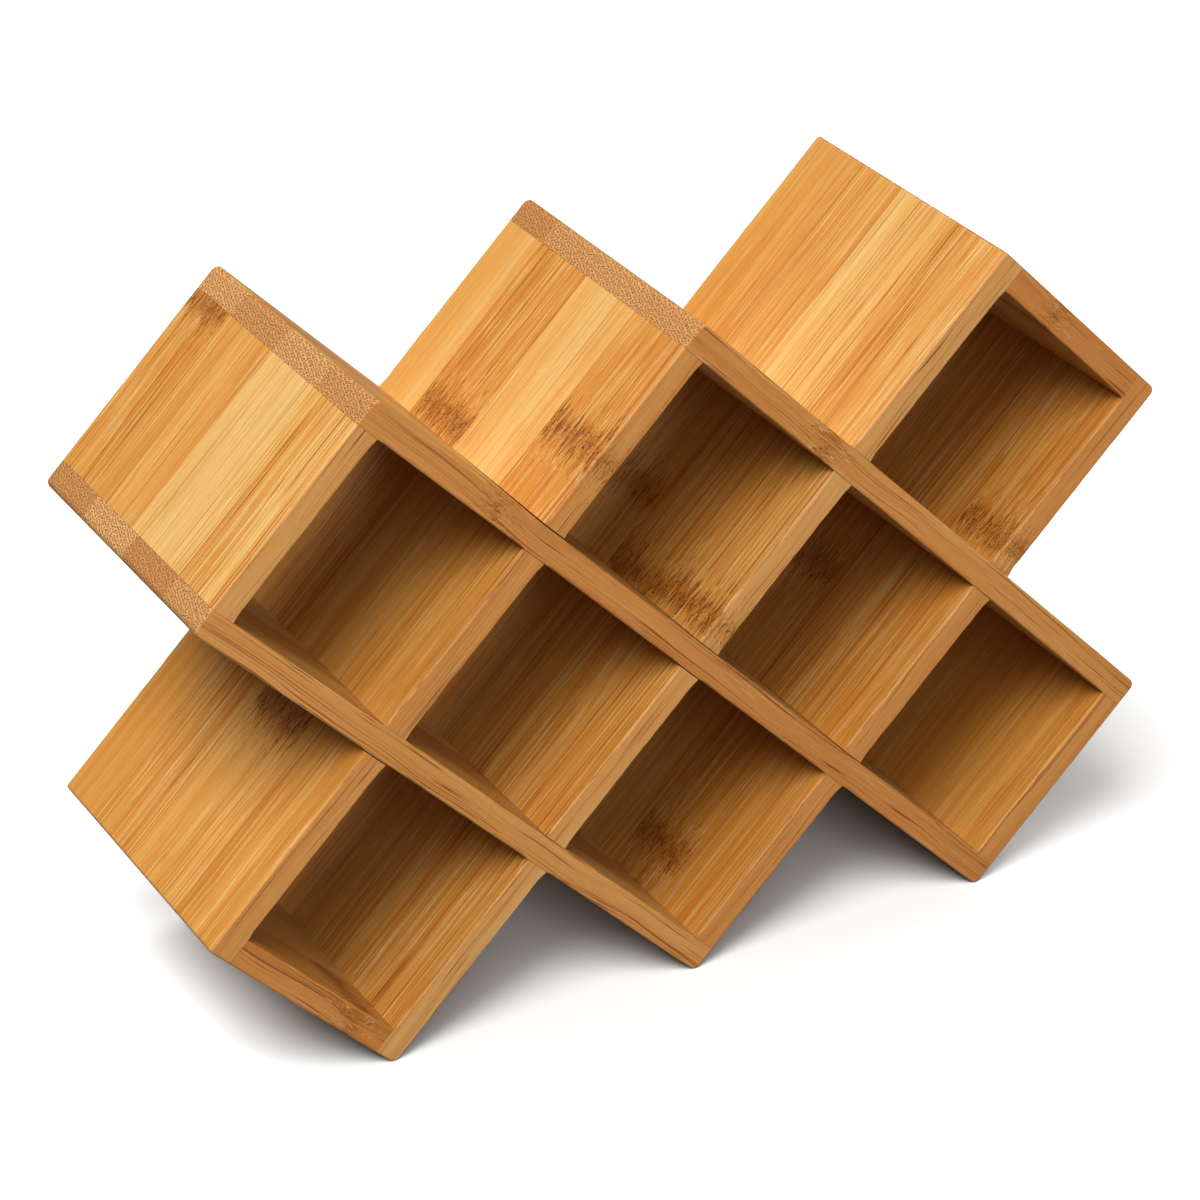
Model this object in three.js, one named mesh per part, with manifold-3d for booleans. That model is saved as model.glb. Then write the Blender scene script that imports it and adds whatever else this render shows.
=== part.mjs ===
// A countertop wine rack of ten laminated bamboo boards, crossed at right angles and standing on edge.
//
// Five boards slope down to the right and five slope up to the right, seen from the front. Where two of
// them cross, each is slotted through half of its depth and they slide into each other (a halving
// joint). Where one board ends on another it is glued and held by two blind dowels. The boards enclose
// eight square bays, three above, two in the middle and three below, and the rack stands on three corners.
//
// Units are millimetres, +Z is up, the front faces -Y, and the origin is at the bottom centre.
import * as THREE from "three";
import { mergeVertices } from "three/addons/utils/BufferGeometryUtils.js";
import Module from "manifold-3d";

// Overall
const pitch = 100; // between the middles of neighbouring boards: a bay is this less one board wide
const boardThickness = 12;
const boardDepth = 145; // front to back
const tilt = Math.PI / 4; // the lattice is turned so that the bays stand on their corners

// Edges
const cornerRadius = 3.2; // outer corners of the rack, where a board's end is sanded round
const crispCornerRadius = 1.6; // the two outer corners that are sanded less
const edgeRadius = 0.8; // arrises at the front and the back

// Halving joints
const slotClearance = 0.3; // each side of the board in a slot, and between the two slots' floors

// Blind dowel joints
const glueGap = 0.3; // between a board's end and the face that it is glued to
const dowelDiameter = 6;
const dowelFluteDepth = 0.25;
const dowelFlutes = 10;
const dowelChamfer = 0.6;
const dowelInEnd = 16; // length of dowel in the end of the board that stops
const dowelInFace = 8; // length of dowel in the face that it stops on
const dowelSpacing = 80; // between the front and the back dowel of a joint
const dowelHoleClearance = 0.15; // round the dowel
const dowelHoleSpare = 0.6; // past each end of the dowel, for the glue

// Facets
const cornerSegments = 3; // half as many as the facets on a rounded corner, so that one vertex is lowest
const edgeSegments = 2;
const holeSegments = 16;
const cutterOverrun = 1; // how far a cutter reaches out of the board that it cuts

const lines = 5; // boards each way, numbered from 0 at the lower left
const middleLine = (lines - 1) / 2;

const bamboo = new THREE.MeshStandardMaterial({ color: 0xc98f4e, roughness: 0.5, metalness: 0 });
const dowelWood = new THREE.MeshStandardMaterial({ color: 0xd9b98a, roughness: 0.7, metalness: 0 });

const wasm = await Module();
wasm.setup();

// A closed geometry as a solid that can be cut.
function solidOf(geometry) {
  const bare = geometry.clone().deleteAttribute("normal").deleteAttribute("uv");
  const merged = mergeVertices(bare, 1e-4);
  const mesh = new wasm.Mesh({
    numProp: 3,
    vertProperties: merged.attributes.position.array,
    triVerts: new Uint32Array(merged.index.array),
  });
  return new wasm.Manifold(mesh);
}

function geometryOf(solid) {
  const mesh = solid.getMesh();
  const geometry = new THREE.BufferGeometry();
  geometry.setAttribute("position", new THREE.BufferAttribute(mesh.vertProperties, 3));
  geometry.setIndex(new THREE.BufferAttribute(mesh.triVerts, 1));
  geometry.computeVertexNormals();
  return geometry;
}

function boxCutter(low, high) {
  const size = high.clone().sub(low);
  const middle = low.clone().add(high).multiplyScalar(0.5);
  return solidOf(new THREE.BoxGeometry(size.x, size.y, size.z).translate(middle.x, middle.y, middle.z));
}

// A board's end either runs past the board that meets it there, flush with that board's outer face,
// or stops on its inner face. outer is the side, +1 or -1, of the corner that is then rounded.
const past = (outer, radius = cornerRadius) => ({ past: true, outer, radius });
const stop = (joint) => ({ past: false, joint });

// Each board lies on one line of its own family, from the first to the last line of the other family.
// A board's own frame has X along it from the first line, Z across its thickness and Y front to back.
const downBoards = [
  { name: "down_board_short_left", line: 0, first: 1, last: 2, start: stop("left_hip"), end: stop("left_foot") },
  { name: "down_board_lower", line: 1, first: 0, last: 3, start: past(-1), end: past(-1) },
  { name: "down_board_middle", line: 2, first: 0, last: 4, start: past(1), end: past(-1) },
  { name: "down_board_upper", line: 3, first: 1, last: 4, start: past(1), end: past(1) },
  { name: "down_board_short_right", line: 4, first: 2, last: 3, start: stop("right_peak"), end: stop("right_shoulder") },
];
const upBoards = [
  { name: "up_board_short_left", line: 0, first: 1, last: 2, start: stop("left_shoulder"), end: stop("left_peak") },
  { name: "up_board_left", line: 1, first: 0, last: 3, start: past(1, crispCornerRadius), end: stop("middle_peak") },
  { name: "up_board_middle", line: 2, first: 0, last: 4, start: past(-1), end: past(1, crispCornerRadius) },
  { name: "up_board_right", line: 3, first: 1, last: 4, start: stop("middle_foot"), end: past(-1) },
  { name: "up_board_short_right", line: 4, first: 2, last: 3, start: stop("right_foot"), end: stop("right_hip") },
];

// Where the board's two ends are, along it.
function span(board) {
  const reach = (end) => (end.past ? boardThickness / 2 : -boardThickness / 2 - glueGap);
  const lastLine = (board.last - board.first) * pitch;
  return { from: -reach(board.start), to: lastLine + reach(board.end), lastLine };
}

// The board seen from the front: a rectangle with its outer corners rounded.
function boardOutline(board) {
  const { from, to } = span(board);
  const half = boardThickness / 2;
  const radiusAt = (end, side) => (end.past && end.outer === side ? end.radius : 0);
  const corners = [
    { x: from, z: -half, radius: radiusAt(board.start, -1), turn: Math.PI },
    { x: to, z: -half, radius: radiusAt(board.end, -1), turn: -Math.PI / 2 },
    { x: to, z: half, radius: radiusAt(board.end, 1), turn: 0 },
    { x: from, z: half, radius: radiusAt(board.start, 1), turn: Math.PI / 2 },
  ];
  const outline = new THREE.Shape();
  corners.forEach(({ x, z, radius, turn }, i) => {
    const centreX = x + (x === from ? radius : -radius);
    const centreZ = z + (z < 0 ? radius : -radius);
    const startX = centreX + radius * Math.cos(turn);
    const startZ = centreZ + radius * Math.sin(turn);
    if (i === 0) outline.moveTo(startX, startZ);
    else outline.lineTo(startX, startZ);
    if (radius > 0) outline.absarc(centreX, centreZ, radius, turn, turn + Math.PI / 2, false);
  });
  outline.closePath();
  return outline;
}

// The whole board before it is cut, with its front and back arrises eased.
function boardBlank(board) {
  const blank = new THREE.ExtrudeGeometry(boardOutline(board), {
    depth: boardDepth - 2 * edgeRadius,
    curveSegments: cornerSegments,
    bevelSegments: edgeSegments,
    bevelThickness: edgeRadius,
    bevelSize: edgeRadius,
    bevelOffset: -edgeRadius,
  });
  return solidOf(blank.translate(0, 0, edgeRadius - boardDepth / 2).rotateX(Math.PI / 2));
}

// A slot for each board that crosses this one: from the back in a down board, from the front in an up board.
function slotCutters(board, fromBack) {
  const halfWidth = boardThickness / 2 + slotClearance;
  const mouth = boardDepth / 2 + cutterOverrun;
  const across = boardThickness / 2 + cutterOverrun;
  const floor = slotClearance / 2;
  const cutters = [];
  for (let line = board.first + 1; line < board.last; line += 1) {
    const along = (line - board.first) * pitch;
    const low = new THREE.Vector3(along - halfWidth, fromBack ? -floor : -mouth, -across);
    const high = new THREE.Vector3(along + halfWidth, fromBack ? mouth : floor, across);
    cutters.push(boxCutter(low, high));
  }
  return cutters;
}

function dowelHole(depth) {
  const radius = dowelDiameter / 2 + dowelHoleClearance;
  return new THREE.CylinderGeometry(radius, radius, depth + cutterOverrun, holeSegments);
}

const dowelRows = { front: -dowelSpacing / 2, back: dowelSpacing / 2 };

// Blind holes along the board where it stops, and into its inner face where it runs past another's end.
function dowelHoleCutters(board) {
  const { from, to, lastLine } = span(board);
  const cutters = [];
  const ends = [
    { end: board.start, at: from, line: 0, inward: 1 },
    { end: board.end, at: to, line: lastLine, inward: -1 },
  ];
  for (const { end, at, line, inward } of ends) {
    for (const y of Object.values(dowelRows)) {
      if (end.past) {
        const depth = dowelInFace + dowelHoleSpare;
        const innerFace = (-end.outer * boardThickness) / 2;
        const middle = innerFace + (end.outer * (depth - cutterOverrun)) / 2;
        cutters.push(solidOf(dowelHole(depth).rotateX(Math.PI / 2).translate(line, y, middle)));
      } else {
        const depth = dowelInEnd + dowelHoleSpare;
        const middle = at + (inward * (depth - cutterOverrun)) / 2;
        cutters.push(solidOf(dowelHole(depth).rotateZ(Math.PI / 2).translate(middle, y, 0)));
      }
    }
  }
  return cutters;
}

function boardMesh(board, fromBack) {
  let solid = boardBlank(board);
  for (const cutter of [...slotCutters(board, fromBack), ...dowelHoleCutters(board)]) {
    solid = solid.subtract(cutter);
  }
  const mesh = new THREE.Mesh(geometryOf(solid), bamboo);
  mesh.name = board.name;
  return mesh;
}

// A fluted dowel with chamfered ends, lying along X about its middle.
function dowelGeometry() {
  const length = dowelInEnd + glueGap + dowelInFace;
  const points = [];
  for (let i = 0; i < 2 * dowelFlutes; i += 1) {
    const radius = dowelDiameter / 2 - (i % 2) * dowelFluteDepth;
    const angle = (i * Math.PI) / dowelFlutes;
    points.push(new THREE.Vector2(radius * Math.cos(angle), radius * Math.sin(angle)));
  }
  const dowel = new THREE.ExtrudeGeometry(new THREE.Shape(points), {
    depth: length - 2 * dowelChamfer,
    bevelSegments: 1,
    bevelThickness: dowelChamfer,
    bevelSize: dowelChamfer,
    bevelOffset: -dowelChamfer,
  });
  return dowel.translate(0, 0, dowelChamfer - length / 2).rotateY(Math.PI / 2);
}

// The front and the back dowel of each end that stops on another board.
function dowelMeshes(board) {
  const { from, to } = span(board);
  const meshes = [];
  const ends = [
    { end: board.start, at: from, outward: -1 },
    { end: board.end, at: to, outward: 1 },
  ];
  for (const { end, at, outward } of ends.filter((each) => !each.end.past)) {
    const middle = at + (outward * (glueGap + dowelInFace - dowelInEnd)) / 2;
    for (const [row, y] of Object.entries(dowelRows)) {
      const dowel = new THREE.Mesh(dowelGeometry(), dowelWood);
      dowel.name = `dowel_${end.joint}_${row}`;
      dowel.position.set(middle, y, 0);
      meshes.push(dowel);
    }
  }
  return meshes;
}

// A board with the dowels in its ends, in the board's own frame.
function boardGroup(board, fromBack) {
  const group = new THREE.Group();
  group.add(boardMesh(board, fromBack), ...dowelMeshes(board));
  return group;
}

// Down boards lie along the lattice's X, one above another on Z.
function downGroup(board) {
  const group = boardGroup(board, true);
  group.position.set((board.first - middleLine) * pitch, 0, (board.line - middleLine) * pitch);
  return group;
}

// Up boards lie along the lattice's Z, side by side on X.
function upGroup(board) {
  const group = boardGroup(board, false);
  group.rotation.y = -Math.PI / 2;
  group.position.set((board.line - middleLine) * pitch, 0, (board.first - middleLine) * pitch);
  return group;
}

// How far a corner's rounding takes its tip back, along the line from the corner to its arc's centre.
const tipLoss = (radius) => radius * (Math.SQRT2 - 1);

// From the middle of the lattice down to the rounded corners that it stands on.
const squareCorner = (middleLine * pitch + boardThickness) * Math.SQRT1_2;
const standingHeight = squareCorner - tipLoss(cornerRadius);

// The crisp corner at the left reaches further out than the round one at the right.
const sideShift = (tipLoss(cornerRadius) - tipLoss(crispCornerRadius)) / 2;

const lattice = new THREE.Group();
lattice.add(...downBoards.map(downGroup), ...upBoards.map(upGroup));
lattice.rotation.y = tilt;
lattice.position.set(sideShift, 0, standingHeight);

const rack = new THREE.Group();
rack.add(lattice);
export default rack;
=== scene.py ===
import math

import bmesh
import bpy
import numpy as np
from mathutils import Euler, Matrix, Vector


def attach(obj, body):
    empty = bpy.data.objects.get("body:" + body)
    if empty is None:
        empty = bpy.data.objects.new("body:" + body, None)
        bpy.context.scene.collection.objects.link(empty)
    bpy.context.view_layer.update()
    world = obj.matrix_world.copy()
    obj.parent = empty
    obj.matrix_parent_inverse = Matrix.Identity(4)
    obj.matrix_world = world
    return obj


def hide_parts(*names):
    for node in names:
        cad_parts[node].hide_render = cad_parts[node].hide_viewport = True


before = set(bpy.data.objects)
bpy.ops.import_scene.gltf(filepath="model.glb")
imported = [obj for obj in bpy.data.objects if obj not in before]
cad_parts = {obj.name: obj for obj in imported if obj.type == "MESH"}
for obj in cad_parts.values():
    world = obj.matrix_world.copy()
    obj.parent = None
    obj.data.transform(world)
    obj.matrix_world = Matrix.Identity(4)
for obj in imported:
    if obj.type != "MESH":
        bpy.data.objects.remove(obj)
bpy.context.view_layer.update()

mm = 0.001
halfRoot = math.sqrt(0.5)
random = np.random.default_rng(7)

# A board has its own axes: along it, front to back, and across its thickness. "down" boards slope
# down to the right and "up" boards slope up to the right, both at 45 degrees.
turns = {
    "down": np.array([[halfRoot, 0, -halfRoot], [0, 1, 0], [halfRoot, 0, halfRoot]]),
    "up": np.array([[halfRoot, 0, halfRoot], [0, 1, 0], [-halfRoot, 0, halfRoot]]),
}

# What sets each board's looks. rearStave is the width of the strip at the back, in mm. The two strips after
# it are whole, and the front one has what is left. tones go from the back strip to the front one, each from
# 0, caramel, to 1, pale straw. farTones take over past farFrom, in mm from the rack's middle, where the
# board comes out of a crossing. On the two boards that have farTones, tones hold the stretch before farFrom,
# among the shaded cells. Some strips there are set darker than in farTones: this is partly the strips' own
# tone and partly painted shade of the cells. lines is how strongly each strip is streaked, and edge is the
# tone of the front and back edges. knots are (mm along from the rack's middle, strip from the back,
# strength).
boardLooks = {
    "down_board_short_left": dict(
        rearStave=31.0, tones=(0.4, 0.5, 0.7, 0.3), lines=(0.5, 0.6, 0.4, 0.8), edge=0.1,
        knots=[(-26, 3, 1.0)]),
    "down_board_lower": dict(
        rearStave=37.5, tones=(0.25, 0.85, 0.2, 0.55), lines=(0.6, 0.5, 0.7, 0.8), edge=0.48,
        knots=[(70, 1, 0.8)]),
    "down_board_middle": dict(
        rearStave=32.2, tones=(0.7, 0.3, 0.65, 0.35), lines=(0.5, 0.6, 0.5, 0.9), edge=0.22,
        knots=[(-129, 3, 1.0), (60, 1, 0.8)]),
    "down_board_upper": dict(
        rearStave=27.8, tones=(0.15, 0.5, 0.55, 0.45), lines=(0.5, 0.7, 0.5, 0.9), edge=0.34,
        knots=[(-17, 3, 1.0)]),
    "down_board_short_right": dict(
        rearStave=34.0, tones=(0.4, 0.6, 0.45, 0.25), lines=(0.6, 0.6, 0.5, 0.8), edge=0.14,
        knots=[(36, 3, 0.9)]),
    "up_board_short_left": dict(
        rearStave=31.0, tones=(0.36, 0.5, 0.85, 0.6), lines=(0.8, 0.55, 0.6, 1.0), edge=0.65,
        knots=[(-9, 0, 0.9)]),
    # On this board and on up_board_middle, tones before farFrom are darker in some strips than farTones:
    # partly the strips' own tone, partly painted shade of the cells.
    "up_board_left": dict(
        rearStave=28.6, tones=(0.38, 0.3, 0.5, 0.34), lines=(0.15, 0.7, 0.5, 0.6), edge=0.46,
        farTones=(0.62, 0.22, 0.76, 0.22), farFrom=0,
        knots=[(15, 1, 1.0), (40, 3, 1.0), (-119, 2, 1.0)]),
    "up_board_middle": dict(
        rearStave=28.2, tones=(0.4, 0.35, 0.3, 0.28), lines=(0.3, 0.6, 0.7, 0.8), edge=0.72,
        farTones=(0.38, 0.34, 0.76, 0.34), farFrom=100,
        knots=[(41, 1, 0.8), (12, 2, 1.0), (16, 3, 1.0)]),
    "up_board_right": dict(
        rearStave=34.0, tones=(0.3, 0.3, 0.14, 0.2), lines=(0.4, 0.6, 0.7, 0.5), edge=0.4,
        knots=[(62, 1, 0.9), (-74, 2, 0.9), (117, 3, 1.0)]),
    "up_board_short_right": dict(
        rearStave=30.0, tones=(0.35, 0.36, 0.24, 0.36), lines=(0.2, 0.35, 0.25, 0.4), edge=0.4,
        knots=[]),
}
staveWidth = 38.8  # a whole strip, in mm
staveCount = 4


def kindOf(name):
    return "down" if name.startswith("down") else "up"


def boardAxes(name):
    return turns[kindOf(name)]


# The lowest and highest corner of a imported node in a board's axes: its points, turned, then their extremes.
def boardBox(node, axes):
    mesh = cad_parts[node].data
    points = np.empty(len(mesh.vertices) * 3, dtype=np.float32)
    mesh.vertices.foreach_get("co", points)
    turned = points.reshape(-1, 3).astype(float) @ axes.T
    return turned.min(axis=0), turned.max(axis=0)


middleDown = boardBox("down_board_middle", turns["down"])
middleUp = boardBox("up_board_middle", turns["up"])
thickness = middleDown[1][2] - middleDown[0][2]
frontY, backY = middleDown[0][1], middleDown[1][1]
depth = backY - frontY
# The middle of the lattice, where the two long boards cross, along the down and the up boards.
latticeAlong = {
    "down": -(middleUp[0][2] + middleUp[1][2]) / 2,
    "up": (middleDown[0][2] + middleDown[1][2]) / 2,
}
boardSize = f"{thickness / mm:.1f} x {depth / mm:.1f} mm"
print("frame:", len(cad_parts), "nodes, boards", boardSize)

# Every length is in mm.
boardShape = dict(
    edgeRadius=1.15,  # arrises along the free edges
    edgeWander=0.22,  # how much hand sanding changes that, as a share
    wanderLengths=(211, 97, 53, 31, 17, 9),  # of the waves that it follows along a board
    wanderFrom=15,  # it starts this far from each end
    wanderOver=25,  # and has set in after this much more
    edgeAtJoint=0.10,  # what is left of the arris where another board meets it
    edgeFade=4.5,  # how far from a joint the arris is full again
    cornerRadius=3.2,  # outer corners of the rack
    crispCorner=1.6,  # the two outer corners that are sanded less
    crispCorners={("up_board_left", 0), ("up_board_middle", 1)},  # 0 is a board's left end, 1 its right end
    squareTrim=1.3,  # the straight side stops this many edge radii before a square corner
    jointGap=0.09,  # glue line between a board's end and the face it meets
    slotGap=0.10,  # each side of a board in a slot
    # Joints that stand a little open at the front: (board, crossing): (below, above) the board in the slot.
    looseSlots={
        ("up_board_left", 0): (0.45, 0.0),
        ("up_board_left", 1): (0.1, 0.55),
        ("up_board_middle", 1): (0.35, 0.3),
        ("up_board_right", 0): (0.0, 0.3),
    },
    cutBeyond=2.0,  # how far a slot's cutter stands out of the board
    dowelRoom=0.12,  # round each dowel
    dowelEndRoom=0.6,  # past each end of a dowel
    dowelSides=24,
    step=1.6,  # between points along the board
    arcSteps=6,
    depthSteps=14,
    depthMargin=2.2,  # from the front and back faces to the first row of points behind the arris
    creaseAngle=32,  # degrees
)


# Where the other boards meet this one: (middle along, side) for each touched face, and the crossings.
def jointsOf(name):
    axes = boardAxes(name)
    low, high = boardBox(name, axes)
    touched, crossings = [], []
    for other in boardLooks:
        if kindOf(other) == kindOf(name):
            continue
        otherLow, otherHigh = boardBox(other, axes)
        middle = (otherLow[0] + otherHigh[0]) / 2
        if middle < low[0] - thickness or middle > high[0] + thickness:
            continue
        sides = []
        for side, face in ((-1, low[2]), (1, high[2])):
            facing = otherHigh[2] if side < 0 else otherLow[2]
            if otherLow[2] < face + side * mm < otherHigh[2] or abs(facing - face) < mm:
                sides.append(side)
                touched.append((middle, side))
        if len(sides) == 2 and low[0] < middle - thickness and high[0] > middle + thickness:
            crossings.append(middle)
    return low, high, touched, crossings


# A board's outline seen from the front: two straight sides, joined at each end. An end that butts against
# another board is square. One that stands past its last joint has a quarter circle at its outer corner and
# a square inner one, which is flush with the board that it meets. Each point is (along, across, the two
# parts of its outward direction, 1 on an end), and gets an arris radius.
def boardOutline(name):
    s = boardShape
    low, high, touched, crossings = jointsOf(name)
    ends = []
    for end, at in ((0, low[0]), (1, high[0])):
        nearest = min((middle for middle, side in touched), key=lambda middle: abs(middle - at))
        runsPast = (at - nearest) * (1 if end else -1) > 0
        sides = [side for middle, side in touched if abs(middle - nearest) < mm]
        if runsPast:
            outer = -sides[0]
            radius = s["crispCorner"] if (name, end) in s["crispCorners"] else s["cornerRadius"]
        else:
            outer, radius = 0, 0
            at = nearest + (thickness / 2 + s["jointGap"] * mm) * (-1 if end else 1)
        ends.append(dict(at=at, outer=outer, radius=radius, past=runsPast))

    # Where each side's straight run starts or stops: at the corner's arc, or just inside a flush joint.
    def trim(end, side):
        if not ends[end]["past"]:
            return 0
        return (ends[end]["radius"] if ends[end]["outer"] == side else s["squareTrim"] * s["edgeRadius"]) * mm

    count = int((ends[1]["at"] - ends[0]["at"]) / (s["step"] * mm))
    middleAcross = (low[2] + high[2]) / 2
    parts = []
    for side, last in ((-1, 1), (1, 0)):
        direction = 1 if last else -1
        begin = ends[1 - last]["at"] + direction * trim(1 - last, side)
        finish = ends[last]["at"] - direction * trim(last, side)
        x = np.linspace(begin, finish, count)
        straight = [x, np.full(count, side * thickness / 2), 0 * x, 0 * x + side, 0 * x]
        parts.append(np.stack(straight, axis=1))
        if not ends[last]["past"]:
            continue
        outer, radius = ends[last]["outer"], ends[last]["radius"] * mm
        angle = np.radians(np.linspace(0, 90, s["arcSteps"] + 3))
        angle = angle[1:] if outer == side else angle[::-1][:-1]
        nx, nz = direction * np.sin(angle), outer * np.cos(angle)
        arcX = ends[last]["at"] - radius * (direction - nx)
        arcZ = outer * (thickness / 2 - radius) + radius * nz
        arc = np.stack([arcX, arcZ, nx, nz, 0 * nx + 1], axis=1)
        square = np.array([[ends[last]["at"], -outer * thickness / 2, direction, 0, 1]])
        parts.append(np.concatenate([arc, square] if outer == side else [square, arc]))
    outline = np.concatenate(parts)
    x, z = outline[:, 0], outline[:, 1] + middleAcross

    # Arris radius: full on a free edge, wandering a little, and faded out towards each joint.
    phase = random.uniform(0, 2 * math.pi, len(s["wanderLengths"]))
    # The waves are added up, out of step on the two sides, and scaled to run from about -1 to 1.
    otherSide = 2 * np.sign(outline[:, 3])
    waves = sum(np.sin(2 * math.pi * x / (length * mm) + phase[i] + otherSide)
                for i, length in enumerate(s["wanderLengths"])) * 2 / len(phase)
    fromEnd = np.minimum(x - ends[0]["at"], ends[1]["at"] - x) / mm
    setIn = np.clip((fromEnd - s["wanderFrom"]) / s["wanderOver"], 0, 1)
    arris = s["edgeRadius"] * (1 + s["edgeWander"] * waves * setIn)
    fade = np.ones(len(x))
    for middle, side in touched:
        away = (np.abs(x - middle) - thickness / 2) / (s["edgeFade"] * mm)
        ramp = np.clip(away, 0, 1)
        onSide = (outline[:, 3] == side) & (outline[:, 4] == 0)
        fade = np.where(onSide, np.minimum(fade, ramp * ramp * (3 - 2 * ramp)), fade)
    arris = s["edgeAtJoint"] + (arris - s["edgeAtJoint"]) * fade
    upper = count + (len(parts[1]) if ends[1]["past"] else 0)
    return dict(x=x, z=z, nx=outline[:, 2], nz=outline[:, 3], arris=arris * mm, count=count,
                upper=upper, crossings=crossings, low=low, high=high)


# Puts a grid of points (round the outline, front to back) and the front and back faces into a mesh. Those
# two are strips between the long sides, closed by one flat face round each end of the board.
def gridMesh(name, points, count, upper):
    around, deep = points.shape[:2]
    i, j = np.meshgrid(np.arange(around), np.arange(deep - 1), indexing="ij")
    nextI = (i + 1) % around
    quads = np.stack([i * deep + j, nextI * deep + j, nextI * deep + j + 1, i * deep + j + 1], axis=-1)
    faces = quads.reshape(-1, 4).tolist()
    lower = np.arange(count - 1)
    facing = upper + count - 1 - lower
    for j in (0, deep - 1):
        strip = np.stack([lower, facing, facing - 1, lower + 1], axis=-1) * deep + j
        faces += strip.tolist()
        for ring in (np.arange(count - 1, upper + 1), np.r_[np.arange(upper + count - 1, around), 0]):
            if len(ring) > 2:
                faces.append((ring * deep + j).tolist())
    mesh = bpy.data.meshes.new(name)
    mesh.from_pydata(points.reshape(-1, 3).tolist(), [], faces)
    return mesh


# A closed tube: a ring of points round an axis at each of some stations along it, with flat ends.
def tubeMesh(name, rings):
    stations, around = rings.shape[:2]
    i, j = np.meshgrid(np.arange(stations - 1), np.arange(around), indexing="ij")
    nextJ = (j + 1) % around
    here, after = i * around, (i + 1) * around
    quads = np.stack([here + j, here + nextJ, after + nextJ, after + j], axis=-1)
    faces = quads.reshape(-1, 4).tolist()
    faces.append(np.arange(around)[::-1].tolist())
    faces.append(((stations - 1) * around + np.arange(around)).tolist())
    mesh = bpy.data.meshes.new(name)
    mesh.from_pydata(rings.reshape(-1, 3).tolist(), [], faces)
    return mesh


def makeObject(name, mesh):
    piece = bpy.data.objects.new(name, mesh)
    bpy.context.scene.collection.objects.link(piece)
    return piece


def outwardNormals(mesh):
    work = bmesh.new()
    work.from_mesh(mesh)
    bmesh.ops.remove_doubles(work, verts=work.verts, dist=1e-7)
    bmesh.ops.recalc_face_normals(work, faces=work.faces)
    work.to_mesh(mesh)
    work.free()


# What is cut from a board: a box for each crossing, through half its depth and wider at the mouth where the
# joint is loose, and a round hole for each dowel.
def boardCutter(name, outline):
    s = boardShape
    axes = boardAxes(name)
    beyond = s["cutBeyond"] * mm
    gap = s["slotGap"] * mm
    rings = []
    middleY = (frontY + backY) / 2
    if kindOf(name) == "down":
        y, mouth = (middleY - gap / 2, backY + beyond), (0, 1)
    else:
        y, mouth = (frontY - beyond, middleY + gap / 2), (1, 0)
    z = (outline["low"][2] - beyond, outline["high"][2] + beyond)
    for index, middle in enumerate(sorted(outline["crossings"])):
        corners = np.zeros((2, 4, 3))
        for side, loose in enumerate(s["looseSlots"].get((name, index), (0, 0))):
            outwardsX = 2 * side - 1
            x = middle + outwardsX * (thickness / 2 + gap)
            wider = outwardsX * loose * mm
            corners[side, :, 0] = x + wider * np.array([mouth[0], mouth[1], mouth[1], mouth[0]])
            corners[side, :, 1] = (y[0], y[1], y[1], y[0])
            corners[side, :, 2] = (z[0], z[0], z[1], z[1])
        rings.append(corners)
    for dowel in (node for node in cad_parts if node.startswith("dowel")):
        low, high = boardBox(dowel, axes)
        near = (low < outline["high"] + mm).all() and (high > outline["low"] - mm).all()
        if not near:
            continue
        size = high - low
        axis = int(np.argmax(size))
        others = [k for k in range(3) if k != axis]
        radius = size[others].max() / 2 + s["dowelRoom"] * mm
        angle = np.linspace(0, 2 * math.pi, s["dowelSides"], endpoint=False)
        ring = np.zeros((2, s["dowelSides"], 3))
        endRoom = s["dowelEndRoom"] * mm
        for station, at in enumerate((low[axis] - endRoom, high[axis] + endRoom)):
            ring[station, :, axis] = at
            ring[station, :, others[0]] = (low + high)[others[0]] / 2 + radius * np.cos(angle)
            ring[station, :, others[1]] = (low + high)[others[1]] / 2 + radius * np.sin(angle)
        rings.append(ring)
    meshes = [tubeMesh("cutter", ring @ axes) for ring in rings]
    work = bmesh.new()
    for mesh in meshes:
        work.from_mesh(mesh)
    bmesh.ops.recalc_face_normals(work, faces=work.faces)
    joined = bpy.data.meshes.new("cutter")
    work.to_mesh(joined)
    work.free()
    for mesh in meshes:
        bpy.data.meshes.remove(mesh)
    return makeObject("cutter", joined)


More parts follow.
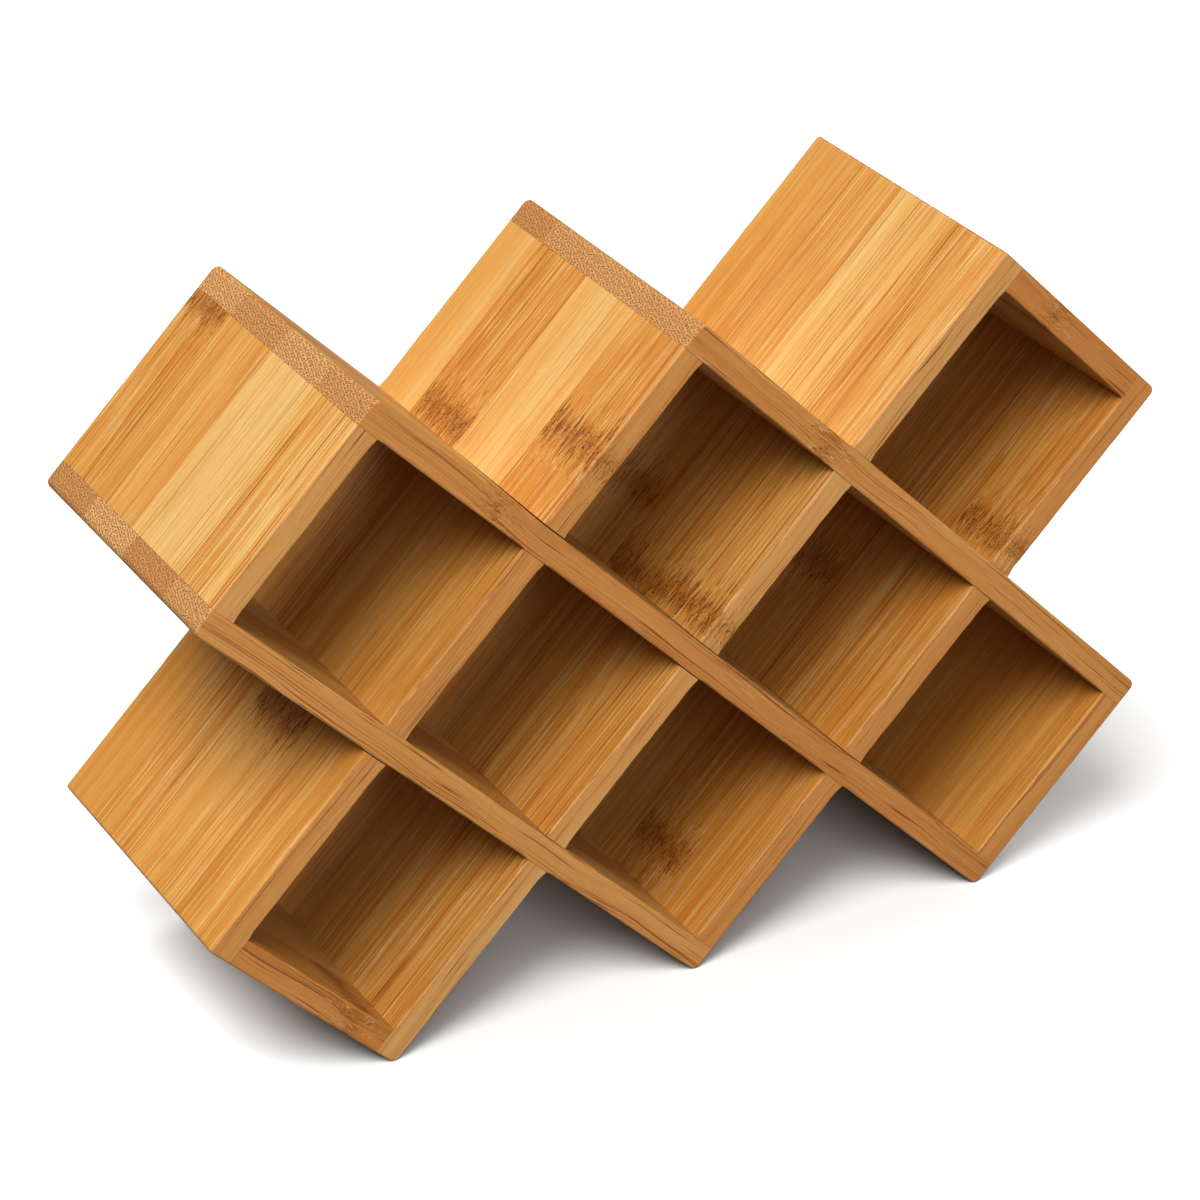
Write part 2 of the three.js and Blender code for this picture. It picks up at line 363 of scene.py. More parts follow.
# A board: its outline carried from the front to the back. At the front and the back an angle falls from 90
# to 0 degrees, and each point stands in from the outline by its arris * (1 - cos) and behind the face by its
# arris * (1 - sin). The joints are then cut out of it.
def makeBoard(name):
    s = boardShape
    outline = boardOutline(name)
    axes = boardAxes(name)
    angle = np.radians(np.linspace(90, 0, s["arcSteps"] + 1))
    inset = 1 - np.cos(angle)
    retreat = 1 - np.sin(angle)
    margin = s["depthMargin"] * mm
    inner = np.linspace(margin, depth - margin, s["depthSteps"])
    x, z, nx, nz, arris = (outline[key][:, None] for key in ("x", "z", "nx", "nz", "arris"))
    frontX, frontZ = x - nx * arris * inset, z - nz * arris * inset
    fullX, fullZ = x + 0 * inner, z + 0 * inner
    px = np.concatenate([frontX, fullX, frontX[:, ::-1]], axis=1)
    pz = np.concatenate([frontZ, fullZ, frontZ[:, ::-1]], axis=1)
    front = frontY + arris * retreat
    back = backY - arris * retreat[::-1]
    py = np.concatenate([front, frontY + inner + 0 * x, back], axis=1)
    points = np.stack([px, py, pz], axis=-1) @ axes
    mesh = gridMesh(name + "_bamboo", points, outline["count"], outline["upper"])
    outwardNormals(mesh)
    blank = makeObject(name + "_bamboo", mesh)
    cutter = boardCutter(name, outline)
    cut = blank.modifiers.new("joints", "BOOLEAN")
    cut.operation = "DIFFERENCE"
    cut.solver = "MANIFOLD"
    cut.object = cutter
    graph = bpy.context.evaluated_depsgraph_get()
    finished = bpy.data.meshes.new_from_object(blank.evaluated_get(graph))
    finished.name = name + "_bamboo"
    finished.materials.clear()
    blank.modifiers.clear()
    blank.data = finished
    bpy.data.meshes.remove(mesh)
    bpy.data.objects.remove(cutter)
    finished.shade_smooth()
    finished.set_sharp_from_angle(angle=math.radians(s["creaseAngle"]))
    even = blank.modifiers.new("even shading", "WEIGHTED_NORMAL")
    even.keep_sharp = True
    return blank


boards = {}
for boardName in boardLooks:
    boards[boardName] = makeBoard(boardName)
print("boards:", len(boards), "with", sum(len(board.data.polygons) for board in boards.values()), "faces")


def newGroup(name, inputs, outputs):
    tree = bpy.data.node_groups.new(name, "ShaderNodeTree")
    for label, kind, value in inputs:
        socket = tree.interface.new_socket(label, in_out="INPUT", socket_type="NodeSocket" + kind)
        socket.default_value = value
    for label, kind in outputs:
        tree.interface.new_socket(label, in_out="OUTPUT", socket_type="NodeSocket" + kind)
    return tree, tree.nodes.new("NodeGroupInput").outputs, tree.nodes.new("NodeGroupOutput").inputs


def addNode(tree, kind, feeds=None, **settings):
    made = tree.nodes.new("ShaderNode" + kind)
    for key, value in settings.items():
        setattr(made, key, value)
    for key, value in (feeds or {}).items():
        if isinstance(value, bpy.types.NodeSocket):
            tree.links.new(value, made.inputs[key])
        else:
            made.inputs[key].default_value = value
    return made


def calc(tree, operation, *values, clamp=False):
    return addNode(tree, "Math", dict(enumerate(values)), operation=operation, use_clamp=clamp).outputs[0]


def vectorCalc(tree, operation, *values):
    return addNode(tree, "VectorMath", dict(enumerate(values)), operation=operation).outputs[0]


def times(tree, first, second):
    return calc(tree, "MULTIPLY", first, second)


# A value times a factor, plus a shift.
def scaled(tree, value, factor, shift):
    return calc(tree, "MULTIPLY_ADD", value, factor, shift)


# A value carried from one range to another, smoothly when asked.
def rerange(tree, value, fromLow, fromHigh, toLow=0.0, toHigh=1.0, smooth=True):
    feeds = {"Value": value, "From Min": fromLow, "From Max": fromHigh, "To Min": toLow, "To Max": toHigh}
    kind = "SMOOTHSTEP" if smooth else "LINEAR"
    return addNode(tree, "MapRange", feeds, interpolation_type=kind).outputs[0]


def mixColour(tree, amount, first, second, blend="MIX"):
    made = addNode(tree, "Mix", data_type="RGBA", blend_type=blend)
    for index, value in ((0, amount), (6, first), (7, second)):
        if isinstance(value, bpy.types.NodeSocket):
            tree.links.new(value, made.inputs[index])
        elif index == 0:
            made.inputs[index].default_value = value
        else:
            made.inputs[index].default_value = (*value, 1)
    return made.outputs[2]


# Screen colours are written as 0 to 255 and turned into the linear values that a shader wants.
def tint(red, green, blue):
    levels = np.array([red, green, blue]) / 255
    return tuple(np.where(levels <= 0.04045, levels / 12.92, ((levels + 0.055) / 1.055) ** 2.4))


# Bamboo colours are written as they look under the studio light, which is stronger than 1, so they are
# scaled down to what the surface really sends back.
litShare = 0.65


def paint(red, green, blue):
    return tuple(channel * litShare for channel in tint(red, green, blue))


def markPaint(name):
    return paint(*markTints[name])


# Streaks that run along a board: noise whose coordinates are divided by a length and a width, in mm, and
# moved on by a seed.
streakSeedStep = (7.3, 5.1, 3.7)
streakRoughness = 0.55


def makeStreakGroup():
    tree, given, out = newGroup(
        "streaks",
        [("Place", "Vector", (0, 0, 0)), ("Length", "Float", 100), ("Width", "Float", 1),
         ("Seed", "Float", 0), ("Detail", "Float", 2)],
        [("Value", "Float")])
    scale = addNode(tree, "CombineXYZ", {
        "X": calc(tree, "DIVIDE", 1.0, given["Length"]),
        "Y": calc(tree, "DIVIDE", 1.0, given["Width"]),
        "Z": calc(tree, "DIVIDE", 1.0, given["Width"])}).outputs[0]
    shift = vectorCalc(tree, "MULTIPLY", given["Seed"], streakSeedStep)
    place = vectorCalc(tree, "MULTIPLY_ADD", given["Place"], scale, shift)
    noise = addNode(tree, "TexNoise", {
        "Vector": place, "Scale": 1.0, "Detail": given["Detail"], "Roughness": streakRoughness})
    tree.links.new(noise.outputs[0], out["Value"])
    return tree


# A knot, the joint of the cane, in one strip: Core is 1 over its middle and Flare fades out along the board.
# Jitter is a noise that makes both ragged, strand by strand. Front and Back are the strip's own edges.
knotShape = dict(
    core=(3.5, 10.0),  # mm from the middle where it is full, and where it ends
    flare=(4.0, 24.0),
    coreRagged=26.0,  # mm that a strand can run out, for each 1 of Jitter
    flareRagged=60.0,
    shorterOnEdge=1.1,
    fainterOnEdge=0.25,
)


def makeKnotGroup():
    k = knotShape
    tree, given, out = newGroup(
        "knot",
        [("Place", "Vector", (0, 0, 0)), ("Jitter", "Float", 0), ("Edge", "Float", 0), ("Along", "Float", 0),
         ("Front", "Float", 0), ("Back", "Float", 30), ("Strength", "Float", 1)],
        [("Core", "Float"), ("Flare", "Float")])
    part = addNode(tree, "SeparateXYZ", {0: given["Place"]}).outputs
    away = calc(tree, "ABSOLUTE", calc(tree, "SUBTRACT", part[0], given["Along"]))
    inStrip = times(tree, calc(tree, "GREATER_THAN", part[1], given["Front"]),
                    calc(tree, "LESS_THAN", part[1], given["Back"]))
    weight = times(tree, inStrip, given["Strength"])
    shorter = scaled(tree, given["Edge"], k["shorterOnEdge"], 1.0)

    def patch(reach, ragged):
        spread = times(tree, scaled(tree, given["Jitter"], ragged, away), shorter)
        return times(tree, weight, rerange(tree, spread, reach[1], reach[0]))

    fainter = scaled(tree, given["Edge"], -k["fainterOnEdge"], 1.0)
    tree.links.new(times(tree, patch(k["core"], k["coreRagged"]), fainter), out["Core"])
    tree.links.new(patch(k["flare"], k["flareRagged"]), out["Flare"])
    return tree


# Round bundles seen on end grain: spots on a skewed grid that bends a little. Spots is 1 on a bundle and
# Shade is the softer dark round it.
bundleShape = dict(
    pitch=1.3,  # mm between bundles
    size=0.27,  # a bundle's radius, as a share of the pitch
    soft=0.1,  # width of its rim, in the same share
    shade=(0.25, 0.65),
    skew=(0.62, -0.35),
    bendScale=0.35,
    bend=0.7,
    randomness=0.55,
)


def makeBundleGroup():
    b = bundleShape
    tree, given, out = newGroup(
        "bundles",
        [("Place", "Vector", (0, 0, 0)), ("Pitch", "Float", b["pitch"]), ("Size", "Float", b["size"])],
        [("Spots", "Float"), ("Shade", "Float")])
    part = addNode(tree, "SeparateXYZ", {0: given["Place"]}).outputs
    skewed = addNode(tree, "CombineXYZ", {
        "X": scaled(tree, part[2], b["skew"][0], part[1]),
        "Y": scaled(tree, part[1], b["skew"][1], part[2])}).outputs[0]
    wander = addNode(tree, "TexNoise", {
        "Vector": skewed, "Scale": b["bendScale"], "Detail": 1.0}, noise_dimensions="2D")
    bent = vectorCalc(tree, "MULTIPLY_ADD", wander.outputs["Color"], (b["bend"], b["bend"], 0), skewed)
    cells = addNode(tree, "TexVoronoi", {
        "Vector": bent, "Scale": calc(tree, "DIVIDE", 1.0, given["Pitch"]),
        "Randomness": b["randomness"]}, voronoi_dimensions="2D")
    far = cells.outputs["Distance"]
    rim = calc(tree, "ADD", given["Size"], b["soft"])
    tree.links.new(rerange(tree, far, rim, given["Size"]), out["Spots"])
    tree.links.new(rerange(tree, far, b["shade"][1], b["shade"][0]), out["Shade"])
    return tree


# Colours of bamboo, 0 to 255: the ground from caramel to straw, and the marks on it.
groundTints = ((213, 132, 42), (228, 152, 60), (239, 174, 86), (248, 202, 125))
groundStops = (0.0, 0.33, 0.66, 1.0)
markTints = dict(
    edge=(255, 247, 242),  # multiplies the ground on the narrow edges
    edgeTan=(225, 165, 130),  # mixed into them
    hair=(202, 164, 112),  # multiplies the ground under a dark hairline
    edgeHair=(178, 148, 106),  # the same on the narrow edges
    paleHair=(255, 224, 150),
    contour=(140, 82, 28),
    flare=(212, 136, 42),
    core=(192, 110, 20),
    stroke=(136, 70, 6),
    pore=(80, 36, 4),
    endDark=(208, 138, 70),
    endPale=(246, 190, 120),
    spot=(128, 76, 30),
)
# The grain and its marks. The first rows are noises: (length along the grain in mm, width across it in mm,
# seed). A pair that says where is the values of a noise between which a mark comes in.
bambooGrain = dict(
    broad=(300.0, 8.0, 1.3),
    stripes=(190.0, 1.7, 4.1),
    darkLine=(180.0, 1.15, 7.7),
    paleLine=(80.0, 1.15, 11.9),
    contour=(16.0, 1.0, 29.3),
    dashes=(8.0, 0.5, 19.7),
    pores=(0.9, 0.7, 23.9),
    fibre=(7.0, 0.16, 15.1),
    lineThick=dict(darkLine=0.062, paleLine=0.07, contour=0.09),  # how much of its noise a line takes
    lineCore=0.3,  # the share of that where it is full
    finerOnEdge=0.5,
    slowWaves=(0.014, 0.02, 0.02),  # waves to a mm
    quickWaves=(0.13, 0.02, 0.06),
    sway=1.8,  # mm that the grain wanders
    swayAtKnot=5.0,  # more at a knot
    swayOnEdge=5.0,  # more on a narrow edge
    ripple=1.0,
    rippleOnEdge=8.0,
    bandedTone=0.8,  # how far the broad bands shift the tone
    stripedTone=0.4,
    edgeTan=0.12,
    darkWhere=(0.40, 0.56),
    darkShare=0.95,  # for each 1 of Lines
    darkOnEdge=0.4,
    darkAlways=0.1,
    paleWhere=(0.60, 0.44),
    paleShare=0.65,
    paleLessOnEdge=0.4,
    fibreShade=(0.9, 1.09),
    flareShare=0.30,
    coreShare=0.62,
    flarePacked=0.55,  # how densely strokes are packed in the flare
    lessOnEdge=0.55,
    strokeCut=(0.70, 0.50),  # the dashes' value above which there is a stroke: in the open, and in the core
    strokeSoft=0.06,
    strokeFull=2.5,
    strokeShare=0.9,
    flareWithoutCore=0.6,
    betweenWhere=(0.42, 0.34),
    betweenShare=0.6,
    poreWhere=(0.655, 0.695),
    poreShare=0.9,
    endShade=0.35,
    endSpots=0.88,
    rough=0.42,
    roughMarks=0.14,
    roughFibre=0.12,
    roughEnd=0.14,
)


# The whole board finish. Place is in mm, End is 1 on end grain and Edge is 1 on the narrow front and back
# faces. Tone, Lines, Seed, Core and Flare vary over the board.
def makeBambooGroup(streaks, bundles):
    g = bambooGrain
    tree, given, out = newGroup(
        "bamboo",
        [("Place", "Vector", (0, 0, 0)), ("End", "Float", 0), ("Edge", "Float", 0), ("Tone", "Float", 0.5),
         ("Lines", "Float", 0.5), ("Seed", "Float", 0), ("Core", "Float", 0), ("Flare", "Float", 0)],
        [("Color", "Color"), ("Roughness", "Float"), ("Height", "Float")])
    edge, lines, core, flare = given["Edge"], given["Lines"], given["Core"], given["Flare"]

    # The grain wanders a little across the board, and more beside a knot and on the narrow edges.
    slow = vectorCalc(tree, "MULTIPLY_ADD", given["Place"], g["slowWaves"], given["Seed"])
    drift = addNode(tree, "TexNoise", {"Vector": slow, "Scale": 1.0, "Detail": 1.0}).outputs[0]
    bend = calc(tree, "ADD", scaled(tree, flare, g["swayAtKnot"], g["sway"]),
                times(tree, edge, g["swayOnEdge"]))
    quick = vectorCalc(tree, "MULTIPLY_ADD", given["Place"], g["quickWaves"], given["Seed"])
    ripple = addNode(tree, "TexNoise", {"Vector": quick, "Scale": 1.0, "Detail": 0.0}).outputs[0]
    rippled = times(tree, calc(tree, "SUBTRACT", ripple, 0.5),
                    times(tree, flare, scaled(tree, edge, g["rippleOnEdge"], g["ripple"])))
    sway = calc(tree, "MULTIPLY_ADD", calc(tree, "SUBTRACT", drift, 0.5), bend, rippled)
    inDepth = times(tree, sway, calc(tree, "SUBTRACT", 1.0, edge))
    swayed = addNode(tree, "CombineXYZ", {"Y": inDepth, "Z": sway}).outputs[0]
    wavy = vectorCalc(tree, "ADD", swayed, given["Place"])

    def streak(mark, detail=1.0, place=None):
        length, width, seedShift = g[mark]
        feeds = {"Place": place or wavy, "Length": length, "Width": width, "Detail": detail,
                 "Seed": calc(tree, "ADD", given["Seed"], seedShift)}
        return addNode(tree, "Group", feeds, node_tree=streaks).outputs[0]

    # Thin lines along the grain, where a stretched noise passes through its middle value.
    def lineOf(mark):
        away = calc(tree, "ABSOLUTE", calc(tree, "SUBTRACT", streak(mark), 0.5))
        thick = g["lineThick"][mark]
        limit = scaled(tree, edge, -g["finerOnEdge"] * thick, thick)
        return rerange(tree, away, limit, times(tree, limit, g["lineCore"]))

    broad = streak("broad")
    stripes = streak("stripes")
    darkLine = lineOf("darkLine")
    paleLine = lineOf("paleLine")
    dashes = streak("dashes")
    pores = streak("pores", detail=0.0)
    fibre = streak("fibre", place=given["Place"])

    # Ground colour from caramel to straw, shifted by broad bands and by narrower stripes.
    bands = calc(tree, "ADD", given["Tone"], scaled(tree, broad, g["bandedTone"], -g["bandedTone"] / 2))
    striped = times(tree, scaled(tree, stripes, g["stripedTone"], -g["stripedTone"] / 2), lines)
    ramp = addNode(tree, "ValToRGB", {"Fac": calc(tree, "ADD", bands, striped)})
    elements = ramp.color_ramp.elements
    for index, (position, colour) in enumerate(zip(groundStops, groundTints)):
        element = elements[index] if index < 2 else elements.new(position)
        element.position = position
        element.color = (*paint(*colour), 1)
    plain = ramp.outputs["Color"]
    edged = mixColour(tree, 1.0, plain, tint(*markTints["edge"]), blend="MULTIPLY")
    edged = mixColour(tree, g["edgeTan"], edged, markPaint("edgeTan"))
    ground = mixColour(tree, edge, plain, edged)

    # Brown hairlines, pale hairlines and fine fibre. The stripes decide where each kind shows.
    darkGate = rerange(tree, stripes, *g["darkWhere"])
    darkShare = scaled(tree, lines, g["darkShare"], scaled(tree, edge, g["darkOnEdge"], g["darkAlways"]))
    brown = times(tree, times(tree, darkLine, darkGate), darkShare)
    hairTint = mixColour(tree, edge, tint(*markTints["hair"]), tint(*markTints["edgeHair"]))
    hairShade = mixColour(tree, 1.0, ground, hairTint, blend="MULTIPLY")
    colour = mixColour(tree, calc(tree, "MINIMUM", brown, 1.0), ground, hairShade)
    paleGate = rerange(tree, stripes, *g["paleWhere"])
    paleShare = times(tree, lines, scaled(tree, edge, -g["paleLessOnEdge"], g["paleShare"]))
    pale = times(tree, times(tree, paleLine, paleGate), paleShare)
    colour = mixColour(tree, pale, colour, markPaint("paleHair"))
    # On the narrow edges fine dark lines flow round a knot.
    flowing = times(tree, times(tree, lineOf("contour"), edge), flare)
    colour = mixColour(tree, flowing, colour, markPaint("contour"))
    grit = rerange(tree, fibre, 0.3, 0.7, *g["fibreShade"], smooth=False)
    greyed = addNode(tree, "CombineColor", {0: grit, 1: grit, 2: grit}).outputs[0]
    colour = mixColour(tree, 1.0, colour, greyed, blend="MULTIPLY")

    # Knots: a deeper patch, packed with short dark strokes and a few open pores, with long pale streaks
    # between the strokes beside it.
    colour = mixColour(tree, times(tree, flare, g["flareShare"]), colour, markPaint("flare"))
    colour = mixColour(tree, times(tree, core, g["coreShare"]), colour, markPaint("core"))
    packed = calc(tree, "MAXIMUM", core, times(tree, flare, g["flarePacked"]))
    packed = times(tree, packed, scaled(tree, edge, -g["lessOnEdge"], 1.0))
    strokeCut = rerange(tree, packed, 0.0, 1.0, *g["strokeCut"], smooth=False)
    cutDashes = rerange(tree, dashes, strokeCut, calc(tree, "ADD", strokeCut, g["strokeSoft"]))
    strokes = times(tree, cutDashes, calc(tree, "MINIMUM", times(tree, packed, g["strokeFull"]), 1.0))
    colour = mixColour(tree, times(tree, strokes, g["strokeShare"]), colour, markPaint("stroke"))
    beside = calc(tree, "MULTIPLY_ADD", core, -g["flareWithoutCore"], flare, clamp=True)
    between = times(tree, rerange(tree, dashes, *g["betweenWhere"]), times(tree, beside, g["betweenShare"]))
    colour = mixColour(tree, between, colour, markPaint("paleHair"))
    openPores = times(tree, rerange(tree, pores, *g["poreWhere"]), core)
    colour = mixColour(tree, times(tree, openPores, g["poreShare"]), colour, markPaint("pore"))

    # End grain: tan ground with dark bundles.
    spots = addNode(tree, "Group", {"Place": given["Place"]}, node_tree=bundles).outputs
    endGround = mixColour(tree, given["Tone"], markPaint("endDark"), markPaint("endPale"))
    endGround = mixColour(tree, times(tree, spots["Shade"], g["endShade"]), endGround, markPaint("endDark"))
    endColour = mixColour(tree, times(tree, spots["Spots"], g["endSpots"]), endGround, markPaint("spot"))
    tree.links.new(mixColour(tree, given["End"], colour, endColour), out["Color"])

    marks = calc(tree, "MAXIMUM", brown, strokes)
    rough = calc(tree, "ADD", scaled(tree, marks, g["roughMarks"], g["rough"]),
                 times(tree, fibre, g["roughFibre"]))
    rough = calc(tree, "ADD", rough, times(tree, given["End"], g["roughEnd"]))
    tree.links.new(rough, out["Roughness"])
    tree.links.new(fibre, out["Height"])
    return tree


streakGroup = makeStreakGroup()
knotGroup = makeKnotGroup()
bundleGroup = makeBundleGroup()
bambooGroup = makeBambooGroup(streakGroup, bundleGroup)
print("node groups:", len(bpy.data.node_groups))


# Each strip's values as a ramp with hard steps, read by the place from the front to the back.
def stripRamp(tree, fromFront, edges, values):
    ramp = addNode(tree, "ValToRGB", {"Fac": fromFront})
    ramp.color_ramp.interpolation = "CONSTANT"
    elements = ramp.color_ramp.elements
    for index, (edge, value) in enumerate(zip(edges, values)):
        element = elements[index] if index < 2 else elements.new(edge)
        element.position = edge
        element.color = (*value, 1)
    return ramp.outputs["Color"]


finish = dict(
    bump=0.25,
    bumpHeight=0.08,  # mm
    specular=0.32,
    coat=0.03,
    coatRoughness=0.3,
    endNormal=(0.45, 0.62),  # how far a face turns along the board before it shows end grain
    edgeNormal=(0.5, 0.8),  # and towards the front or back before it shows edge grain
    ragged=(60.0, 0.9),  # length and width in mm of a knot's strands
    stripSeeds=60.0,
    boardSeeds=40.0,
    knotOverhang=5.0,  # mm that a knot in an outer strip runs on over the narrow edge
)


# Each board reads its own place in mm: X along it, Y from its middle to the back, Z across its thickness.
def boardMaterial(name, look):
    f = finish
    material = bpy.data.materials.new(name + "_bamboo")
    material.use_nodes = True
    tree = material.node_tree
    shader = tree.nodes["Principled BSDF"]
    kind = kindOf(name)
    low, high = boardBox(name, turns[kind])
    centre = Vector((latticeAlong[kind], (frontY + backY) / 2, (low[2] + high[2]) / 2)) / mm
    turn = Euler((0, math.radians(-45 if kind == "down" else 45), 0))
    objectPlace = addNode(tree, "TexCoord").outputs["Object"]
    place = addNode(tree, "Mapping", {
        "Vector": objectPlace, "Location": -centre, "Rotation": turn, "Scale": (1 / mm,) * 3}).outputs[0]
    facing = addNode(tree, "Mapping", {
        "Vector": addNode(tree, "TexCoord").outputs["Normal"], "Rotation": turn}).outputs[0]
    normal = addNode(tree, "SeparateXYZ", {0: facing}).outputs
    end = rerange(tree, calc(tree, "ABSOLUTE", normal[0]), *f["endNormal"])
    edge = rerange(tree, calc(tree, "ABSOLUTE", normal[1]), *f["edgeNormal"])

    # Strips, from the front. joins are the glued joints between them.
    depthMm = depth / mm
    last = staveCount - 1
    joins = [depthMm - look["rearStave"] - staveWidth * i for i in reversed(range(last))]
    edges = [0.0] + [at / depthMm for at in joins]
    seeds = random.uniform(0, 1, staveCount)
    values = [(look["tones"][last - i], look["lines"][last - i], seeds[i]) for i in range(staveCount)]
    across = addNode(tree, "SeparateXYZ", {0: place}).outputs
    share = calc(tree, "MULTIPLY_ADD", across[1], mm / depth, 0.5)
    strips = stripRamp(tree, share, edges, values)
    # Past farFrom the board takes its farTones. The darker tones before it are partly the strips' own tone
    # and partly painted shade of the lattice cells.
    if "farTones" in look:
        farValues = [(look["farTones"][last - i], *values[i][1:]) for i in range(staveCount)]
        past = calc(tree, "GREATER_THAN", across[0], float(look["farFrom"]))
        strips = mixColour(tree, past, strips, stripRamp(tree, share, edges, farValues))
    strip = addNode(tree, "SeparateColor", {0: strips}).outputs
    onFaces = times(tree, strip[0], calc(tree, "SUBTRACT", 1.0, edge))
    tone = calc(tree, "ADD", onFaces, times(tree, edge, look["edge"]))
    seed = scaled(tree, strip[2], f["stripSeeds"], float(random.uniform(0, f["boardSeeds"])))

    length, width = f["ragged"]
    ragged = addNode(tree, "Group", {
        "Place": place, "Length": length, "Width": width, "Seed": seed, "Detail": 1.0},
        node_tree=streakGroup).outputs[0]
    jitter = calc(tree, "SUBTRACT", ragged, 0.5)
    core, flare = None, None
    limits = [at - depthMm / 2 for at in (-f["knotOverhang"], *joins, depthMm + f["knotOverhang"])]
    for along, fromBack, strength in look["knots"]:
        fromFront = last - fromBack
        knot = addNode(tree, "Group", {
            "Place": place, "Jitter": jitter, "Edge": edge, "Along": float(along),
            "Front": limits[fromFront], "Back": limits[fromFront + 1],
            "Strength": strength}, node_tree=knotGroup).outputs
        core = knot["Core"] if core is None else calc(tree, "MAXIMUM", core, knot["Core"])
        flare = knot["Flare"] if flare is None else calc(tree, "MAXIMUM", flare, knot["Flare"])
    feeds = {"Place": place, "End": end, "Edge": edge, "Tone": tone, "Lines": strip[1], "Seed": seed}
    if core is not None:
        feeds.update({"Core": core, "Flare": flare})
    bamboo = addNode(tree, "Group", feeds, node_tree=bambooGroup).outputs
    tree.links.new(bamboo["Color"], shader.inputs["Base Color"])
    tree.links.new(bamboo["Roughness"], shader.inputs["Roughness"])
    bump = addNode(tree, "Bump", {
        "Strength": f["bump"], "Distance": f["bumpHeight"] * mm, "Height": bamboo["Height"]})
    tree.links.new(bump.outputs[0], shader.inputs["Normal"])
    shader.inputs["Specular IOR Level"].default_value = f["specular"]
    shader.inputs["Coat Weight"].default_value = f["coat"]
    shader.inputs["Coat Roughness"].default_value = f["coatRoughness"]
    return material


# The dowels are sealed in their joints: plain streaked bamboo.
dowelLook = dict(
    dark=(206, 164, 104),
    pale=(236, 206, 150),
    streakLength=14.0,
    streakWidth=0.5,
    rough=(0.6, 0.8),
)


def dowelMaterial():
    d = dowelLook
    material = bpy.data.materials.new("dowel_bamboo")
    material.use_nodes = True
    tree = material.node_tree
    shader = tree.nodes["Principled BSDF"]
    place = addNode(tree, "Mapping", {
        "Vector": addNode(tree, "TexCoord").outputs["Object"], "Rotation": Euler((0, math.radians(45), 0)),
        "Scale": (1 / mm,) * 3}).outputs[0]
    grain = addNode(tree, "Group", {
        "Place": place, "Length": d["streakLength"], "Width": d["streakWidth"]},
        node_tree=streakGroup).outputs[0]
    colour = mixColour(tree, grain, paint(*d["dark"]), paint(*d["pale"]))
    tree.links.new(colour, shader.inputs["Base Color"])
    rough = scaled(tree, grain, d["rough"][1] - d["rough"][0], d["rough"][0])
    tree.links.new(rough, shader.inputs["Roughness"])
    return material


for boardName, board in boards.items():
    board.data.materials.append(boardMaterial(boardName, boardLooks[boardName]))
    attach(board, "root")
    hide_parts(boardName)
plainDowel = dowelMaterial()
for nodeName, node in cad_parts.items():
    if nodeName.startswith("dowel"):
        for slot in node.material_slots:
            slot.material = plainDowel
print("materials:", len(bpy.data.materials))

studio = dict(
    floorSize=12.0,
    floorTint=(250, 250, 249),  # as the camera sees it
    floorBounce=(126, 126, 125),  # as it lights the rack, so that the undersides stay dark
    floorRoughness=0.9,
    floorSpecular=0.1,
    lampDistance=5.0,
    lampWidth=2.6,
    # name: (azimuth, elevation, watts); azimuth is 0 in front of the rack and grows to its right
    lamps={
        "key": (-50, 56, 203),
        "overhead": (-20, 56, 77),
        "left": (-120, 56, 130),
        "front": (-2, 18, 108),
        "right": (112, 40, 90),
    },
)
# right and up slide the camera in its own plane, in metres.
viewpoint = dict(azimuth=-29.0, elevation=28.16, distance=1.7528, lens=125.73, right=-0.00504, up=-0.00532)

# The middle of the lattice, which the lamps and the camera face.
target = Vector(((latticeAlong["down"] + latticeAlong["up"]) * halfRoot, (frontY + backY) / 2,
                 (latticeAlong["up"] - latticeAlong["down"]) * halfRoot))


# A direction from the rack, by its angle round it and its angle above the floor.
def outwards(azimuth, elevation):
    a, e = math.radians(azimuth), math.radians(elevation)
    return Vector((math.sin(a) * math.cos(e), -math.cos(a) * math.cos(e), math.sin(e)))


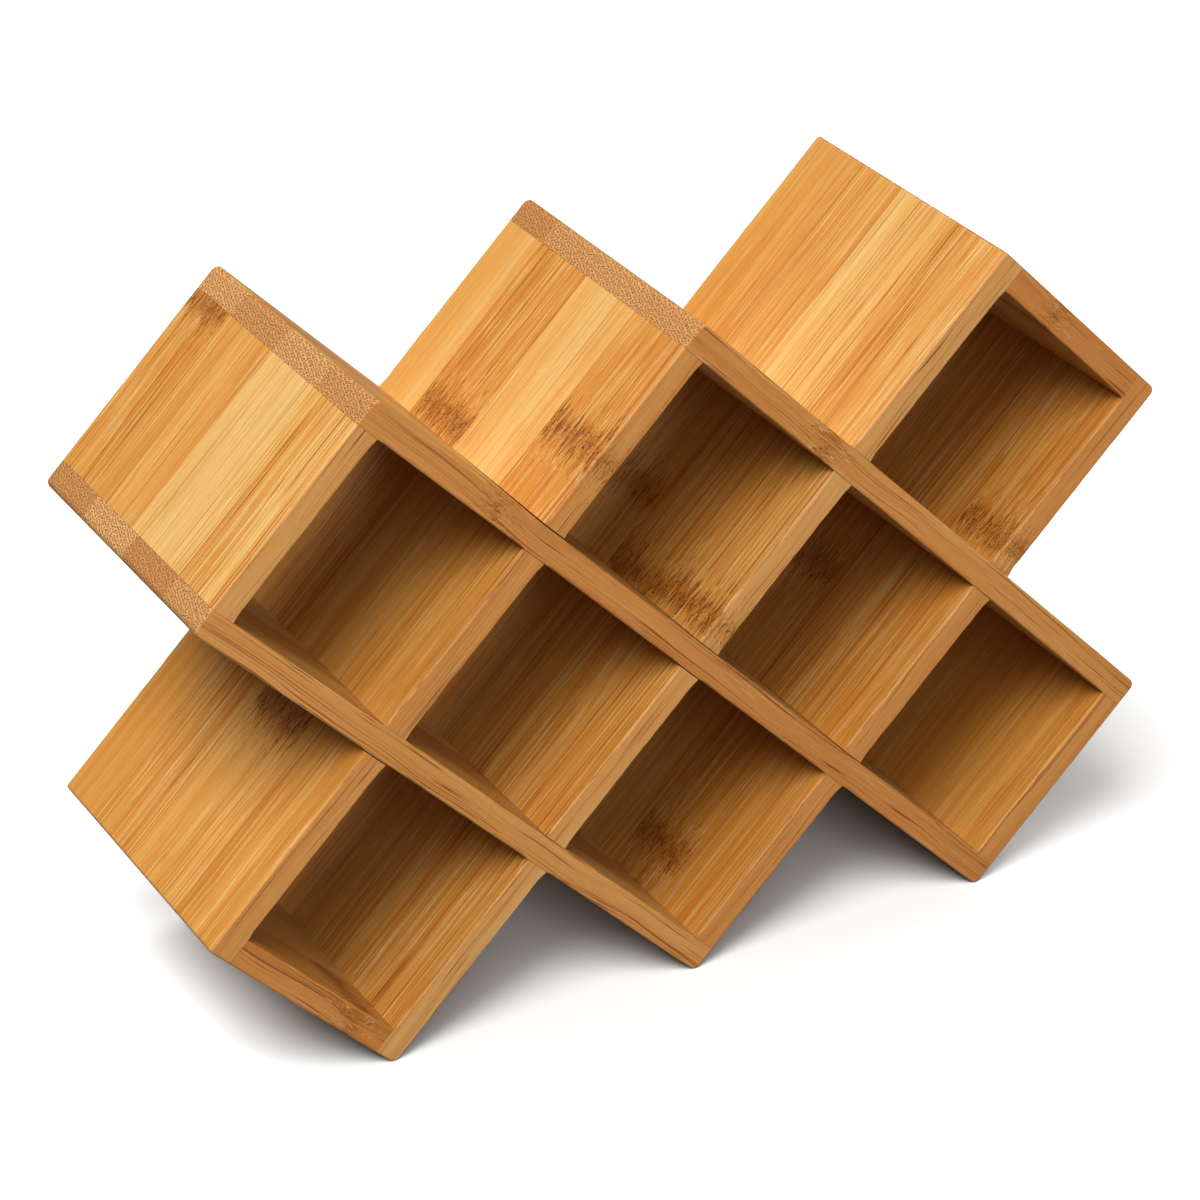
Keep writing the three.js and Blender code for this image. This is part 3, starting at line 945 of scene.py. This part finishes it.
def makeStudio():
    half = studio["floorSize"] / 2
    mesh = bpy.data.meshes.new("floor")
    corners = [(-half, -half, 0), (half, -half, 0), (half, half, 0), (-half, half, 0)]
    mesh.from_pydata(corners, [], [(0, 1, 2, 3)])
    floor = makeObject("floor", mesh)
    material = bpy.data.materials.new("floor")
    material.use_nodes = True
    tree = material.node_tree
    shader = tree.nodes["Principled BSDF"]
    seen = addNode(tree, "LightPath").outputs["Is Camera Ray"]
    floorColour = mixColour(tree, seen, tint(*studio["floorBounce"]), tint(*studio["floorTint"]))
    tree.links.new(floorColour, shader.inputs["Base Color"])
    shader.inputs["Roughness"].default_value = studio["floorRoughness"]
    shader.inputs["Specular IOR Level"].default_value = studio["floorSpecular"]
    mesh.materials.append(material)
    # The world gives no light of its own: all of it comes from the lamps.
    world = bpy.data.worlds.new("studio")
    world.use_nodes = True
    world.node_tree.nodes["Background"].inputs["Strength"].default_value = 0.0
    bpy.context.scene.world = world
    for name, (azimuth, elevation, watts) in studio["lamps"].items():
        light = bpy.data.lights.new(name, "AREA")
        light.shape = "DISK"
        light.size = studio["lampWidth"]
        light.energy = watts
        lamp = bpy.data.objects.new(name, light)
        direction = outwards(azimuth, elevation)
        lamp.location = target + direction * studio["lampDistance"]
        lamp.rotation_mode = "QUATERNION"
        lamp.rotation_quaternion = direction.to_track_quat("Z", "Y")
        bpy.context.scene.collection.objects.link(lamp)


def makeCamera():
    camera = bpy.data.cameras.new("camera")
    camera.lens = viewpoint["lens"]
    camera.sensor_width = 36
    camera.clip_start, camera.clip_end = 0.05, 50
    eye = bpy.data.objects.new("camera", camera)
    back = outwards(viewpoint["azimuth"], viewpoint["elevation"])
    turn = back.to_track_quat("Z", "Y")
    eye.rotation_mode = "QUATERNION"
    eye.rotation_quaternion = turn
    slide = turn @ Vector((viewpoint["right"], viewpoint["up"], 0))
    eye.location = target + back * viewpoint["distance"] + slide
    bpy.context.scene.collection.objects.link(eye)
    bpy.context.scene.camera = eye


makeStudio()
makeCamera()
bpy.context.scene.view_settings.view_transform = "Standard"
print("studio: floor, world and", len(studio["lamps"]), "lamps")
